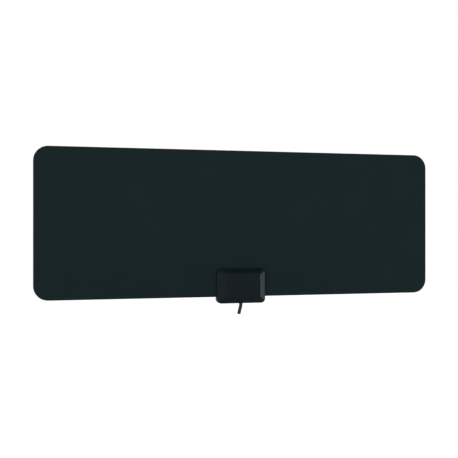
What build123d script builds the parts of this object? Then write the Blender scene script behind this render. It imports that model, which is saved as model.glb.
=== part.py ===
from build123d import *
import os

# Flat indoor TV antenna: a laminated sheet with two foil arms inside, and a small housing on its lower
# edge that holds the balun and the lead. X runs along the sheet, Z is up and the front faces -Y. The origin
# is the centre of the sheet's rear face, and a depth is a distance in front of that face. Sizes are in mm.
# The pieces are made about the housing's middle, and move to their place along the sheet at the end.

# Sheet
SHEET_W = 317.5
SHEET_H = 114.3
SHEET_CORNER_R = 11.0
FILM_T = 0.4
BACKING_T = 0.8

# Foil arms, each a wide loop with a tongue that reaches into the housing
FOIL_T = 0.1
FOIL_MARGIN = 7.0
FOIL_HOUSING_GAP = 4.0
LOOP_BAND = 36.0
TONGUE_W = 6.0
TONGUE_END = 3.0

# Housing, with a bevelled front, a little left of the sheet's middle
HOUSING_X = -1.6
HOUSING_W = 38.8
HOUSING_H = 26.9
HOUSING_D = 9.0
HOUSING_CORNER_R = 3.6
OVERHANG = 4.9
WALL_T = 1.5
ROOF_T = 1.6
BEVEL_D = 4.7
BEVEL_SIDE = 5.6
BEVEL_END = 3.1
BEVEL_CORNER_R = 3.4
FACE_EDGE_R = 1.8
SHOULDER_EDGE = 0.4
BOSS_R = 2.2
BOSS_INSET = 4.5
RIB_T = 1.0
RIB_L = 8.0

# Rear cover
COVER_PROUD = 0.8
COVER_EDGE = 0.6
COVER_CLEAR = 0.25
LIP_CLEAR = 0.2

# Cover screws, countersunk at 90 degrees
SCREW_R = 1.0
SCREW_HEAD_R = 1.9
SCREW_L = 6.0
SCREW_CROSS_L = 2.2
SCREW_CROSS_W = 0.5
SCREW_CROSS_D = 0.6
HOLE_CLEAR = 0.15
PILOT_CLEAR = 0.8

# Balun board and the rivets that join it to the foil
BOARD_T = 1.0
BOARD_GAP = 0.6
RIVET_R = 0.8
RIVET_HEAD_R = 1.5
RIVET_HEAD_T = 0.25
RIVET_INSET = 3.1
RIVET_CLEAR = 0.3

# Two-hole ferrite core and its wires
CORE_W = 7.0
CORE_H = 4.2
CORE_L = 6.2
CORE_HOLE_R = 0.875
CORE_HOLE_PITCH = 2.9
WIRE_R = 0.17
WIRE_PITCH = 0.45
WIRE_BOW = 0.7
LEAD_DROP = 1.6

# Coaxial lead, cut square a short way below the housing
CABLE_R = 1.35
JACKET_T = 0.35
BRAID_T = 0.2
CONDUCTOR_R = 0.2
CABLE_ROUTE = [(-1.7, 8.45), (-0.25, 2.6), (0.0, 1.1)]
SLOT_CLEAR = 0.1
FERRULE_T = 0.5
FERRULE_L = 3.0
JACKET_PAST_FERRULE = 1.4
BRAID_ON_BOARD = 2.6
INSULATOR_PAST_BRAID = 0.8

# Solder joints on the board, as high as the lead's axis
WIRE_JOINT_R = 0.9
BRAID_JOINT_R = 1.6
CONDUCTOR_JOINT_R = 1.5

# Depths of the layers
film_front = BACKING_T + FILM_T
board_front = film_front + BOARD_T
shoulder_depth = film_front + HOUSING_D - BEVEL_D
face_depth = film_front + HOUSING_D
roof_depth = face_depth - ROOF_T
cable_depth = board_front + CABLE_R
core_depth = board_front + CORE_H / 2

# Heights in the housing
sheet_low = -SHEET_H / 2
housing_low = sheet_low - OVERHANG
housing_mid = housing_low + HOUSING_H / 2
housing_top = housing_low + HOUSING_H
cavity_low = housing_low + WALL_T
cavity_top = housing_top - WALL_T
jacket_top = cavity_low + FERRULE_L + JACKET_PAST_FERRULE
board_low = jacket_top + BOARD_GAP
board_top = cavity_top - BOARD_GAP
braid_joint = board_low + BRAID_ON_BOARD - BRAID_JOINT_R / 2
braid_top = board_low + BRAID_ON_BOARD
insulator_top = braid_top + INSULATOR_PAST_BRAID
conductor_top = insulator_top + CONDUCTOR_JOINT_R + WIRE_R
lead_level = conductor_top + CONDUCTOR_JOINT_R
core_low = lead_level + LEAD_DROP
core_top = core_low + CORE_L

# Places across the housing
boss_x = HOUSING_W / 2 - BOSS_INSET
board_w = 2 * (boss_x - BOSS_R - BOARD_GAP)
rivet_x = board_w / 2 - RIVET_INSET
rivet_z = core_low
joint_x = rivet_x - RIVET_HEAD_R - 2 * WIRE_JOINT_R


def front(depth):
    """The plane at a depth, seen from the front."""
    return Plane.XZ.offset(depth)


def slab(sketch, depth, thickness):
    """A flat piece of a thickness, whose rear face lies at a depth."""
    return extrude(front(depth) * sketch, thickness)


def round_bar(x, z, depth, length, radius):
    """A round bar that points forward."""
    return slab(Pos(x, z) * Circle(radius), depth, length)


def upright_bar(sketch, depth, low, length):
    """A bar along Z, with its section centred at a depth."""
    return extrude(Plane.XY.offset(low) * Pos(0, -depth) * sketch, length)


def both_sides(x):
    """The two places that mirror each other."""
    return (-x, x)


def turned(profile, x, z):
    """A round piece from (radius, depth) points, on an axis that points forward."""
    points = [(radius, -depth) for radius, depth in profile]
    face = make_face(Polyline(*points, close=True))
    return Pos(x, 0, z) * revolve(face, Axis.Y)


def wire(route):
    """A thin wire through (x, depth, z) points."""
    path = Polyline(*[(x, -depth, z) for x, depth, z in route])
    section = Plane(path @ 0, z_dir=path % 0) * Circle(WIRE_R)
    return sweep(section, path, transition=Transition.RIGHT)


def sheet_outline():
    return Pos(-HOUSING_X, 0) * RectangleRounded(SHEET_W, SHEET_H, SHEET_CORNER_R)


def housing_outline(grow=0.0):
    """The housing's outline from the front, grown on every side."""
    outline = RectangleRounded(HOUSING_W + 2 * grow, HOUSING_H + 2 * grow, HOUSING_CORNER_R + grow)
    return Pos(0, housing_mid) * outline


def arm_outline():
    """The right foil arm: a loop, with a tongue that runs down past its rivet."""
    outer_x = SHEET_W / 2 - FOIL_MARGIN
    top_z = SHEET_H / 2 - FOIL_MARGIN
    step_x = HOUSING_W / 2 + FOIL_HOUSING_GAP
    step_z = housing_top + FOIL_HOUSING_GAP
    tongue_in = rivet_x - TONGUE_W / 2
    tongue_out = rivet_x + TONGUE_W / 2
    tongue_low = rivet_z - TONGUE_END
    corners = [
        (tongue_in, top_z),
        (outer_x, top_z),
        (outer_x, -top_z),
        (step_x, -top_z),
        (step_x, step_z),
        (tongue_out, step_z),
        (tongue_out, tongue_low),
        (tongue_in, tongue_low),
    ]
    plate = make_face(Polyline(*corners, close=True))
    hole = Rectangle(outer_x - step_x - 2 * LOOP_BAND, 2 * top_z - 2 * LOOP_BAND)
    return plate - Pos((outer_x + step_x) / 2, 0) * hole


def rivet_holes(depth, length):
    return [round_bar(x, rivet_z, depth, length, RIVET_R) for x in both_sides(rivet_x)]


def make_front_film():
    """The front layer of the laminate, with holes for the screws and the rivets."""
    film = slab(sheet_outline(), BACKING_T, FILM_T) - rivet_holes(0, film_front)
    hole_r = SCREW_R + HOLE_CLEAR
    return film - [round_bar(x, housing_mid, 0, film_front, hole_r) for x in both_sides(boss_x)]


def make_arm():
    """One foil arm, which lies in a shallow bed in the backing."""
    return slab(arm_outline(), BACKING_T - FOIL_T, FOIL_T) - rivet_holes(0, film_front)


def mirrored(piece):
    return mirror(piece, about=Plane.YZ)


def arm_beds():
    """The space that both foil arms take up."""
    bed = slab(arm_outline(), BACKING_T - FOIL_T, FOIL_T)
    return [bed, mirrored(bed)]


def make_backing():
    """The rear layer of the laminate, cut away round the rear cover."""
    backing = slab(sheet_outline() - housing_outline(COVER_CLEAR), 0, BACKING_T)
    return backing - arm_beds()


def bevelled_box(inset, low_depth, high_depth):
    """The housing's outer form, or its hollow at an inset, between two depths."""
    wide = HOUSING_W - 2 * inset
    tall = HOUSING_H - 2 * inset
    side = BEVEL_SIDE - inset
    end = BEVEL_END - inset
    rise = high_depth - shoulder_depth
    crown = Wedge(wide, rise, tall, side, end, wide - side, tall - end)
    crown = fillet(crown.edges().group_by(Axis.Y)[1], BEVEL_CORNER_R - inset)
    crown = Pos(0, rise / 2 - high_depth, housing_mid) * Rot(Z=180) * crown
    form = slab(Pos(0, housing_mid) * Rectangle(wide, tall), low_depth, shoulder_depth - low_depth)
    return (form + crown) & slab(housing_outline(-inset), low_depth, high_depth - low_depth)


def softened(form):
    """The form with a rounded edge along its face and a broken one along its shoulder."""
    form = fillet(form.faces().sort_by(Axis.Y)[0].edges(), FACE_EDGE_R)
    walls = form.faces().filter_by(lambda face: abs(face.normal_at().Y) < 0.01)
    shoulder = walls.edges().filter_by_position(Axis.Y, -face_depth, 0.01 - shoulder_depth)
    return chamfer(shoulder, SHOULDER_EDGE)


def make_housing_front():
    """The moulded front half: a bevelled shell with two bosses, two board ribs and a slot for the lead."""
    outer = softened(bevelled_box(0, film_front, face_depth))
    shell = outer - bevelled_box(WALL_T, film_front, roof_depth)
    rib_x = board_w / 2 - RIB_T / 2
    for x in both_sides(boss_x):
        shell += round_bar(x, housing_mid, film_front, roof_depth - film_front, BOSS_R) & outer
    for x in both_sides(rib_x):
        rib = Pos(x, (board_low + board_top) / 2) * Rectangle(RIB_T, RIB_L)
        shell += slab(rib, board_front, roof_depth - board_front)
    pilot_d = SCREW_L - COVER_PROUD - film_front + PILOT_CLEAR
    shell -= [round_bar(x, housing_mid, film_front, pilot_d, SCREW_R) for x in both_sides(boss_x)]
    return shell - cable_slot(SLOT_CLEAR)


def cable_slot(clear):
    """The open slot through the housing's lower wall, round at its front end."""
    mid = Pos(0, housing_low + WALL_T / 2)
    straight = mid * Rectangle(2 * (CABLE_R + clear), WALL_T)
    channel = slab(straight, film_front, cable_depth - film_front)
    return channel + upright_bar(Circle(CABLE_R + clear), cable_depth, housing_low, WALL_T)


def make_rear_cover():
    """The back half: a plate behind the sheet, a lip below it and a saddle that closes the lead's slot."""
    plate = slab(housing_outline(), -COVER_PROUD, COVER_PROUD + BACKING_T)
    plate = chamfer(plate.faces().sort_by(Axis.Y)[-1].edges(), COVER_EDGE)
    below = Pos(0, (housing_low + sheet_low - LIP_CLEAR) / 2) * Rectangle(HOUSING_W, OVERHANG - LIP_CLEAR)
    plate += slab(housing_outline() & below, BACKING_T, FILM_T)
    saddle = Pos(0, housing_low + WALL_T / 2) * Rectangle(2 * CABLE_R, WALL_T)
    plate += slab(saddle, film_front, cable_depth - film_front)
    plate -= upright_bar(Circle(CABLE_R), cable_depth, housing_low, WALL_T)
    plate -= arm_beds()
    pocket_d = RIVET_HEAD_T + RIVET_CLEAR
    pocket_w = 2 * (RIVET_HEAD_R + RIVET_CLEAR)
    for x in both_sides(rivet_x):
        pocket = Pos(x, rivet_z) * Rectangle(pocket_w, pocket_w)
        plate -= slab(pocket, BACKING_T - FOIL_T - pocket_d, pocket_d)
    for x in both_sides(boss_x):
        plate -= turned(screw_profile(SCREW_R + HOLE_CLEAR), x, housing_mid)
    return plate


def screw_profile(shank_r):
    """Half of a countersunk screw, whose head is flush with the rear cover."""
    head = -COVER_PROUD
    end = head + SCREW_L
    return [
        (0, head),
        (SCREW_HEAD_R, head),
        (shank_r, head + SCREW_HEAD_R - shank_r),
        (shank_r, end),
        (0, end),
    ]


def make_cover_screws():
    """Two countersunk screws with a cross recess."""
    screws = []
    for x in both_sides(boss_x):
        screw = turned(screw_profile(SCREW_R), x, housing_mid)
        cross = Rectangle(SCREW_CROSS_L, SCREW_CROSS_W) + Rectangle(SCREW_CROSS_W, SCREW_CROSS_L)
        screws.append(screw - slab(Pos(x, housing_mid) * cross, -COVER_PROUD, SCREW_CROSS_D))
    return screws


def make_board():
    """The board, which lies on the film between the bosses."""
    outline = Pos(0, (board_low + board_top) / 2) * Rectangle(board_w, board_top - board_low)
    board = slab(outline, film_front, BOARD_T)
    return board - rivet_holes(0, board_front)


def make_feed_rivets():
    """Two rivets through the board, the film and a foil tongue, with a head at both ends."""
    back = BACKING_T - FOIL_T
    profile = [
        (0, back - RIVET_HEAD_T),
        (RIVET_HEAD_R, back - RIVET_HEAD_T),
        (RIVET_HEAD_R, back),
        (RIVET_R, back),
        (RIVET_R, board_front),
        (RIVET_HEAD_R, board_front),
        (RIVET_HEAD_R, board_front + RIVET_HEAD_T),
        (0, board_front + RIVET_HEAD_T),
    ]
    return [turned(profile, x, rivet_z) for x in both_sides(rivet_x)]


def make_core():
    """The ferrite core, flat on the board, with its two holes upright."""
    section = SlotOverall(CORE_W, CORE_H)
    section -= [Pos(x, 0) * Circle(CORE_HOLE_R) for x in both_sides(CORE_HOLE_PITCH / 2)]
    return upright_bar(section, core_depth, core_low, CORE_L)


def make_antenna_winding():
    """Two turns through the core, from one foil arm's joint to the other's."""
    leg = CORE_HOLE_PITCH / 2
    outer = core_depth + WIRE_PITCH
    top = core_top + WIRE_BOW
    link = core_low - WIRE_BOW
    start = board_front + 2 * WIRE_R
    low = core_low - LEAD_DROP
    route = [
        (-joint_x, start, low),
        (-leg, outer, low),
        (-leg, outer, top),
        (leg, outer, top),
        (leg, outer, link),
        (-leg, core_depth, link),
        (-leg, core_depth, top),
        (leg, core_depth, top),
        (leg, core_depth, low),
        (joint_x, start, low),
    ]
    return wire(route)


def make_cable_winding():
    """One turn through the core, from the lead's inner conductor to its braid."""
    leg = CORE_HOLE_PITCH / 2
    inner = core_depth - WIRE_PITCH
    top = core_top + WIRE_BOW
    start = board_front + 2 * WIRE_R
    beside = CONDUCTOR_JOINT_R + 4 * WIRE_R
    route = [
        (-CONDUCTOR_JOINT_R / 2, start, conductor_top),
        (-leg, inner, core_low - WIRE_BOW),
        (-leg, inner, top),
        (leg, inner, top),
        (leg, inner, core_low - WIRE_BOW),
        (beside, start, insulator_top),
        (BRAID_JOINT_R - 2 * WIRE_R, start, braid_joint),
    ]
    return wire(route)


def cable_layer(outer_r, inner_r, top):
    """One layer of the lead, from its cut end up to a height in the housing."""
    route = [(x, -cable_depth, housing_low - below) for x, below in CABLE_ROUTE]
    path = Polyline(*route, (0, -cable_depth, top))
    section = Circle(outer_r)
    if inner_r:
        section -= Circle(inner_r)
    return sweep(Plane(path @ 0, z_dir=path % 0) * section, path, transition=Transition.RIGHT)


def make_ferrule():
    """The crimped six-sided ring on the lead, which rests on the housing's lower wall."""
    ring = RegularPolygon(CABLE_R + FERRULE_T, 6, major_radius=False) - Circle(CABLE_R)
    return upright_bar(ring, cable_depth, cavity_low, FERRULE_L)


def make_solder(pieces):
    """Solder joints on the board, with the pieces that they hold cut out of them."""
    places = [
        (-joint_x, core_low - LEAD_DROP, WIRE_JOINT_R),
        (joint_x, core_low - LEAD_DROP, WIRE_JOINT_R),
        (0, braid_joint, BRAID_JOINT_R),
        (0, conductor_top, CONDUCTOR_JOINT_R),
    ]
    return [round_bar(x, z, board_front, CABLE_R, radius) - pieces for x, z, radius in places]


def make_parts():
    """Every node by name. A node of several like pieces is a list."""
    jacket_in = CABLE_R - JACKET_T
    braid_in = jacket_in - BRAID_T
    arm = make_arm()
    parts = {
        "front_film": make_front_film(),
        "backing_sheet": make_backing(),
        "left_element": mirrored(arm),
        "right_element": arm,
        "housing_front": make_housing_front(),
        "rear_cover": make_rear_cover(),
        "cover_screws": make_cover_screws(),
        "balun_board": make_board(),
        "feed_rivets": make_feed_rivets(),
        "balun_core": make_core(),
        "antenna_winding": make_antenna_winding(),
        "cable_winding": make_cable_winding(),
        "cable_jacket": cable_layer(CABLE_R, jacket_in, jacket_top),
        "cable_braid": cable_layer(jacket_in, braid_in, braid_top),
        "cable_insulator": cable_layer(braid_in, CONDUCTOR_R, insulator_top),
        "cable_core": cable_layer(CONDUCTOR_R, 0, conductor_top),
        "crimp_ferrule": make_ferrule(),
    }
    held = ("antenna_winding", "cable_winding", "cable_braid", "cable_insulator", "cable_core")
    parts["solder_joints"] = make_solder([parts[name] for name in held])
    return parts


def main():
    os.makedirs("parts", exist_ok=True)
    for name, piece in make_parts().items():
        shape = Compound(piece) if isinstance(piece, list) else piece
        export_step(Pos(HOUSING_X, 0, 0) * shape, f"parts/{name}.step")


main()
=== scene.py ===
import bpy
from math import cos, radians, tau
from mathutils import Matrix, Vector

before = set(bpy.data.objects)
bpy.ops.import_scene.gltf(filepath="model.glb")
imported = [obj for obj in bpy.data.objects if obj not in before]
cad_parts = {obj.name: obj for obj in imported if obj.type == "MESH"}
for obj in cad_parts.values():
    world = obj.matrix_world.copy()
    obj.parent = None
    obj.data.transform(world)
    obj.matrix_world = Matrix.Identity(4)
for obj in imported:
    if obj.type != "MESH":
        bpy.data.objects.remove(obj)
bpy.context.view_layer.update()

# Flat indoor TV antenna: a dark laminated sheet with a small housing on its lower edge. Sizes are in
# metres, X runs along the sheet, Z is up and the front faces -Y.
MM = 0.001
WHITE = "#ffffff"

# The photograph's camera: left of the sheet, level with its middle, turned a little to the right
IMAGE_PX = 458
FOCAL_PX = 757
SENSOR_W = 36
CAMERA_PLACE = (-0.1547, -0.5747, -0.00425)
CAMERA_TILT = radians(90)
CAMERA_TURN = radians(14.11)

# The floor: pale, well below the sheet, and lifted to white by a glow. In a reflection the glow grows with
# the distance from the antenna, from none at SHADE_R to all of it at WHITE_R.
FLOOR_Z = -0.65
FLOOR_W = 13.0
FLOOR_COLOUR = "#f2f2f0"
FLOOR_GLOW = 0.75
SHADE_R = 0.57
WHITE_R = 1.3

# The walls: white up to a height and ROOM_DARK of that from another on, where a height is 0 on the level
# and 1 overhead. They light the antenna with ROOM_LIGHT of what a reflection of them shows.
WHITE_UP_TO = 0.15
DARK_FROM = 0.5
ROOM_DARK = 0.3
ROOM_LIGHT = 0.15

# Soft lights: the way from the antenna to each, its strength, its spread and its colour. The left and right
# ones graze the sheet, so that they light the housing's sides, and the right one is a little cool.
LIGHTS = {
    "front_light": ((-0.30, -0.95, 0.02), 3.25, radians(70), WHITE),
    "left_light": ((-0.99, -0.08, 0.0), 1.1, radians(16), WHITE),
    "right_light": ((0.99, -0.04, -0.06), 3.0, radians(12), "#e4fffb"),
    "rear_light": ((0.76, 0.64, 0.08), 3.4, radians(30), WHITE),
}

# How finely a softened edge is looked up
EDGE_SAMPLES = 8

# A Mix node's colour sockets
MIX_FACTOR, MIX_A, MIX_B, MIX_RESULT = 0, 6, 7, 2

# How far a Wave texture of scale 1 turns in one metre, in radians
WAVE_TURN = 20


def linear(colour):
    """The linear RGBA of a colour written as sRGB hex."""
    parts = [int(colour[i : i + 2], 16) / 255 for i in (1, 3, 5)]
    return (*[c / 12.92 if c <= 0.04045 else ((c + 0.055) / 1.055) ** 2.4 for c in parts], 1.0)


def add(tree, kind, inputs, **settings):
    """Adds a shader node. Each input is a value, or an output of another node to link."""
    made = tree.nodes.new("ShaderNode" + kind)
    for name, value in settings.items():
        setattr(made, name, value)
    for socket, value in inputs.items():
        if isinstance(value, bpy.types.NodeSocket):
            tree.links.new(value, made.inputs[socket])
        else:
            made.inputs[socket].default_value = value
    return made


def new_material(name):
    """A new material, its empty node tree, and the place on the object in metres."""
    material = bpy.data.materials.new(name)
    material.use_nodes = True
    tree = material.node_tree
    tree.nodes.clear()
    return material, tree, add(tree, "TexCoord", {}).outputs["Object"]


def patches(tree, place, lengths, detail=2.0):
    """Random patches with a length along each axis."""
    scale = [1 / length for length in lengths]
    drawn_out = add(tree, "Mapping", {"Vector": place, "Scale": scale}).outputs["Vector"]
    return add(tree, "TexNoise", {"Vector": drawn_out, "Scale": 1.0, "Detail": detail}).outputs["Fac"]


def lay(tree, tone, tooth, colours, roughness, relief, edge=0.0, **finish):
    """The surface: tone moves between two colours, tooth gives the roughness and the relief, and edges are
    shaded as if rounded to the radius edge."""
    ends = {MIX_FACTOR: tone, MIX_A: linear(colours[0]), MIX_B: linear(colours[1])}
    colour = add(tree, "Mix", ends, data_type="RGBA").outputs[MIX_RESULT]
    rough = add(tree, "MapRange", {"Value": tooth, "To Min": roughness[0], "To Max": roughness[1]})
    grain = {"Height": tooth, "Distance": relief}
    if edge:
        grain["Normal"] = add(tree, "Bevel", {"Radius": edge}, samples=EDGE_SAMPLES).outputs["Normal"]
    bump = add(tree, "Bump", grain)
    inputs = {"Base Color": colour, "Roughness": rough.outputs["Result"], "Normal": bump.outputs["Normal"]}
    inputs.update({name.replace("_", " "): value for name, value in finish.items()})
    shader = add(tree, "BsdfPrincipled", inputs)
    add(tree, "OutputMaterial", {"Surface": shader.outputs["BSDF"]})


def matte_film():
    """Polyester film pressed on a matte roller: a dark even face with a fine tooth and hardly any gloss."""
    material, tree, place = new_material("matte_rolled_polyester_film")
    # The real tooth is about 0.05 mm. It is drawn about a pixel wide, since a finer one would only be noise
    tooth = patches(tree, place, 3 * [0.9 * MM])
    tone = patches(tree, place, 3 * [30 * MM], detail=4.0)
    lay(tree, tone, tooth, ("#172325", "#1a2729"), (0.62, 0.82), 0.02 * MM, Specular_IOR_Level=0.04)
    return material


def calendered_backing():
    """Calendered vinyl sheet: smoother than the film, with faint streaks along its length."""
    material, tree, place = new_material("calendered_vinyl_sheet")
    # The real tooth is about 0.1 mm, and is drawn coarser for the same reason as the film's
    tooth = patches(tree, place, 3 * [1.4 * MM])
    tone = patches(tree, place, (90 * MM, 5 * MM, 4 * MM))
    lay(tree, tone, tooth, ("#15191a", "#1c2123"), (0.5, 0.68), 0.015 * MM, Specular_IOR_Level=0.06)
    return material


def moulded_housing():
    """Injection-moulded ABS from a spark-eroded tool: dark, with a soft gloss broken up by a fine grain."""
    material, tree, place = new_material("spark_eroded_moulded_abs")
    # The real grain is about 0.1 mm. It is drawn coarser, so that near views show it
    tooth = patches(tree, place, 3 * [0.5 * MM])
    tone = patches(tree, place, 3 * [9 * MM], detail=3.0)
    colours = ("#141c20", "#182024")
    lay(tree, tone, tooth, colours, (0.3, 0.45), 0.035 * MM, edge=2 * MM, Specular_IOR_Level=0.025)
    return material


def plated_screws():
    """Zinc-plated steel: a bright cool metal with a faint mottle from the bath."""
    material, tree, place = new_material("zinc_plated_steel")
    tooth = patches(tree, place, 3 * [0.2 * MM])
    tone = patches(tree, place, 3 * [0.8 * MM])
    lay(tree, tone, tooth, ("#9b9e9f", "#b4b7b8"), (0.25, 0.4), 0.004 * MM, Metallic=1.0)
    return material


def glass_board():
    """Glass-fibre board under green lacquer: the weave shows through as a fine grid."""
    material, tree, place = new_material("lacquered_glass_fibre_board")
    thread = 0.5 * MM
    stripes = {"Vector": place, "Scale": tau / (WAVE_TURN * thread)}
    warp = add(tree, "TexWave", stripes, bands_direction="X").outputs["Fac"]
    weft = add(tree, "TexWave", stripes, bands_direction="Z").outputs["Fac"]
    weave = add(tree, "Math", {0: warp, 1: weft}, operation="MULTIPLY").outputs["Value"]
    lay(tree, weave, weave, ("#1d4a2c", "#2a5f3b"), (0.3, 0.4), 0.01 * MM)
    return material


def tinned_rivets():
    """Tinned brass: a soft white metal, dulled where the head was set."""
    material, tree, place = new_material("tinned_brass")
    tooth = patches(tree, place, 3 * [0.25 * MM])
    tone = patches(tree, place, 3 * [1.0 * MM])
    lay(tree, tone, tooth, ("#b3b0a6", "#cfcdc6"), (0.3, 0.48), 0.006 * MM, Metallic=1.0)
    return material


def sintered_ferrite():
    """Sintered ferrite: dark grey ceramic with fine pits and a dull shine."""
    material, tree, place = new_material("sintered_ferrite")
    pit = 0.3 * MM
    pits = add(tree, "TexVoronoi", {"Vector": place, "Scale": 1 / pit}).outputs["Distance"]
    tone = patches(tree, place, 3 * [0.6 * MM])
    lay(tree, tone, pits, ("#2b2b2d", "#3a3a3c"), (0.45, 0.65), 0.02 * MM)
    return material


def enamelled_wire(name, colours):
    """Enamelled copper: the metal's warm colour under a clear, slightly wavy coat."""
    material, tree, place = new_material(name)
    tooth = patches(tree, place, 3 * [0.4 * MM])
    lay(tree, tooth, tooth, colours, (0.28, 0.4), 0.004 * MM, Metallic=1.0, Coat_Weight=0.6)
    return material


def extruded_jacket():
    """Extruded vinyl: near black and satin, with fine draw lines along the lead."""
    material, tree, place = new_material("extruded_vinyl")
    tooth = patches(tree, place, (0.25 * MM, 0.25 * MM, 6 * MM))
    tone = patches(tree, place, 3 * [2 * MM])
    lay(tree, tone, tooth, ("#191a1c", "#212224"), (0.42, 0.58), 0.01 * MM, Specular_IOR_Level=0.15)
    return material


def tinned_braid():
    """Braided tinned copper: bright strands that cross on the slant."""
    material, tree, place = new_material("braided_tinned_copper")
    strand = 0.25 * MM
    slant = radians(35)
    slants = []
    for turn in (slant, -slant):
        turned = add(tree, "Mapping", {"Vector": place, "Rotation": (0, turn, 0)}).outputs["Vector"]
        stripes = {"Vector": turned, "Scale": tau / (WAVE_TURN * strand)}
        slants.append(add(tree, "TexWave", stripes, bands_direction="X").outputs["Fac"])
    crossed = add(tree, "Math", {0: slants[0], 1: slants[1]}, operation="MAXIMUM").outputs["Value"]
    lay(tree, crossed, crossed, ("#77736b", "#c9c6bf"), (0.3, 0.5), 0.03 * MM, Metallic=1.0)
    return material


def foamed_insulator():
    """Foamed polyethylene: milky white with tiny cells."""
    material, tree, place = new_material("foamed_polyethylene")
    cell = 0.15 * MM
    cells = add(tree, "TexVoronoi", {"Vector": place, "Scale": 1 / cell}).outputs["Distance"]
    lay(tree, cells, cells, ("#dddcd6", "#f0efea"), (0.45, 0.6), 0.01 * MM)
    return material


def drawn_conductor():
    """Copper-clad steel wire: bright copper with draw lines along it."""
    material, tree, place = new_material("drawn_copper_clad_steel")
    lines = patches(tree, place, (0.05 * MM, 0.05 * MM, 3 * MM))
    lay(tree, lines, lines, ("#b8704f", "#d9946f"), (0.25, 0.4), 0.002 * MM, Metallic=1.0)
    return material


def crimped_ferrule():
    """Nickel-plated brass: a warm bright metal with light tool marks."""
    material, tree, place = new_material("nickel_plated_brass")
    marks = patches(tree, place, (0.3 * MM, 0.3 * MM, 2 * MM))
    lay(tree, marks, marks, ("#a8a294", "#c9c3b4"), (0.28, 0.42), 0.006 * MM, Metallic=1.0)
    return material


def hand_solder():
    """Hand-laid solder: a dull silver with a frosted skin."""
    material, tree, place = new_material("frosted_tin_solder")
    tooth = patches(tree, place, 3 * [0.3 * MM], detail=4.0)
    lay(tree, tooth, tooth, ("#9fa1a3", "#c2c4c6"), (0.3, 0.5), 0.02 * MM, Metallic=1.0)
    return material


def foil_with_painted_rear_shade():
    """Rolled aluminium foil: bright, with fine lines along the rolling, and painted shade on its rear
    faces, which are drawn dark and not metallic.
    """
    material, tree, place = new_material("rolled_aluminium_foil_with_painted_rear_shade")
    lines = patches(tree, place, (40 * MM, 1 * MM, 0.4 * MM))
    # Painted shade: each face that turns less than this from straight back is drawn dark and not metallic,
    # where the foil shows in a gap
    widest_turn = radians(60)
    way = add(tree, "NewGeometry", {}).outputs["True Normal"]
    back = {0: add(tree, "SeparateXYZ", {"Vector": way}).outputs["Y"], 1: cos(widest_turn)}
    # This mask marks the painted shade on the rear faces
    painted_shade_mask = add(tree, "Math", back, operation="GREATER_THAN").outputs["Value"]
    unshaded_metal_mask = add(tree, "Math", {0: 1.0, 1: painted_shade_mask}, operation="SUBTRACT").outputs["Value"]
    lay(tree, painted_shade_mask, lines, ("#d2d3d4", "#23282a"), (0.3, 0.45), 0.004 * MM, Metallic=unshaded_metal_mask)
    return material


def dress_nodes():
    """Gives every node of the antenna its material."""
    # The foil's rear faces carry painted shade
    foil = foil_with_painted_rear_shade()
    housing = moulded_housing()
    looks = {
        "front_film": matte_film(),
        "backing_sheet": calendered_backing(),
        "left_element": foil,
        "right_element": foil,
        "housing_front": housing,
        "rear_cover": housing,
        "cover_screws": plated_screws(),
        "balun_board": glass_board(),
        "feed_rivets": tinned_rivets(),
        "balun_core": sintered_ferrite(),
        "antenna_winding": enamelled_wire("red_enamelled_copper", ("#8a3a24", "#a34a30")),
        "cable_winding": enamelled_wire("amber_enamelled_copper", ("#a67236", "#ba823e")),
        "cable_jacket": extruded_jacket(),
        "cable_braid": tinned_braid(),
        "cable_insulator": foamed_insulator(),
        "cable_core": drawn_conductor(),
        "crimp_ferrule": crimped_ferrule(),
        "solder_joints": hand_solder(),
    }
    for name, look in looks.items():
        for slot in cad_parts[name].material_slots:
            slot.material = look


def shown_rays(tree):
    """Two switches for the rays that show the room: from the camera, and mirrored or through glass."""
    path = add(tree, "LightPath", {}).outputs
    either = {0: path["Is Glossy Ray"], 1: path["Is Transmission Ray"]}
    mirrored = add(tree, "Math", either, operation="MAXIMUM").outputs["Value"]
    return path["Is Camera Ray"], mirrored


def lay_floor():
    """A plain pale floor, which keeps the object's shadow."""
    half = FLOOR_W / 2
    corners = [(x, y, FLOOR_Z) for x, y in ((-half, -half), (half, -half), (half, half), (-half, half))]
    mesh = bpy.data.meshes.new("floor")
    mesh.from_pydata(corners, [], [(0, 1, 2, 3)])
    floor = bpy.data.objects.new("floor", mesh)
    bpy.context.collection.objects.link(floor)
    material, tree, place = new_material("pale_painted_floor")
    camera, mirrored = shown_rays(tree)
    away = add(tree, "VectorMath", {0: place}, operation="LENGTH").outputs["Value"]
    fade = {"Value": away, "From Min": SHADE_R, "From Max": WHITE_R}
    far = add(tree, "MapRange", fade).outputs["Result"]
    far_mirrored = add(tree, "Math", {0: mirrored, 1: far}, operation="MULTIPLY").outputs["Value"]
    shown = add(tree, "Math", {0: camera, 1: far_mirrored}, operation="MAXIMUM").outputs["Value"]
    glow = add(tree, "Math", {0: shown, 1: FLOOR_GLOW}, operation="MULTIPLY").outputs["Value"]
    paint = {
        "Base Color": linear(FLOOR_COLOUR),
        "Roughness": 0.9,
        "Specular IOR Level": 0.1,
        "Emission Color": linear(WHITE),
        "Emission Strength": glow,
    }
    shader = add(tree, "BsdfPrincipled", paint)
    add(tree, "OutputMaterial", {"Surface": shader.outputs["BSDF"]})
    mesh.materials.append(material)


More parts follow.
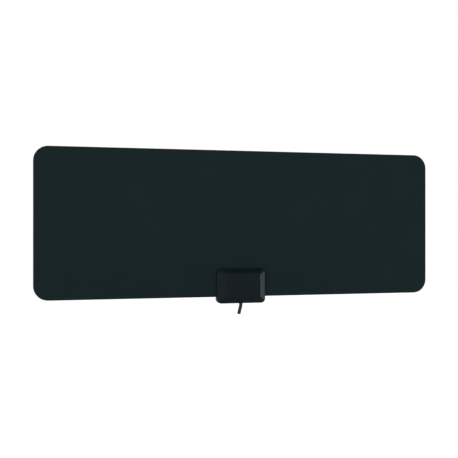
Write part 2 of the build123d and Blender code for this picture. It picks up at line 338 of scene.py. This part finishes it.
def light_room():
    """White walls all round, which fade to a dark ceiling where they are reflected or give light."""
    world = bpy.data.worlds.new("studio")
    world.use_nodes = True
    bpy.context.scene.world = world
    tree = world.node_tree
    tree.nodes.clear()
    way = add(tree, "TexCoord", {}).outputs["Generated"]
    rise = add(tree, "SeparateXYZ", {"Vector": way}).outputs["Z"]
    heights = {"From Min": WHITE_UP_TO, "From Max": DARK_FROM}
    fade = {"Value": rise, **heights, "To Min": 1.0, "To Max": ROOM_DARK}
    walls = add(tree, "MapRange", fade, interpolation_type="SMOOTHSTEP").outputs["Result"]
    camera, mirrored = shown_rays(tree)
    level = add(tree, "Math", {0: mirrored, 1: ROOM_LIGHT}, operation="MAXIMUM").outputs["Value"]
    lit = add(tree, "Math", {0: walls, 1: level}, operation="MULTIPLY").outputs["Value"]
    strength = add(tree, "Math", {0: camera, 1: lit}, operation="MAXIMUM").outputs["Value"]
    sky = add(tree, "Background", {"Color": linear(WHITE), "Strength": strength})
    add(tree, "OutputWorld", {"Surface": sky.outputs["Background"]})


def hang_lights():
    """Soft lights from far off, so that the whole sheet is lit alike."""
    for name, (way, strength, spread, colour) in LIGHTS.items():
        lamp = bpy.data.lights.new(name, "SUN")
        lamp.energy = strength
        lamp.angle = spread
        lamp.color = linear(colour)[:3]
        light = bpy.data.objects.new(name, lamp)
        light.rotation_euler = Vector(way).to_track_quat("Z", "Y").to_euler()
        bpy.context.collection.objects.link(light)


def place_camera():
    """The camera where the photograph was taken from, with its angle of view."""
    lens = bpy.data.cameras.new("camera")
    lens.sensor_fit = "HORIZONTAL"
    lens.sensor_width = SENSOR_W
    lens.lens = SENSOR_W * FOCAL_PX / IMAGE_PX
    camera = bpy.data.objects.new("camera", lens)
    camera.location = CAMERA_PLACE
    camera.rotation_euler = (CAMERA_TILT, 0, -CAMERA_TURN)
    bpy.context.collection.objects.link(camera)
    bpy.context.scene.camera = camera


dress_nodes()
lay_floor()
light_room()
hang_lights()
place_camera()
bpy.context.scene.view_settings.view_transform = "Standard"
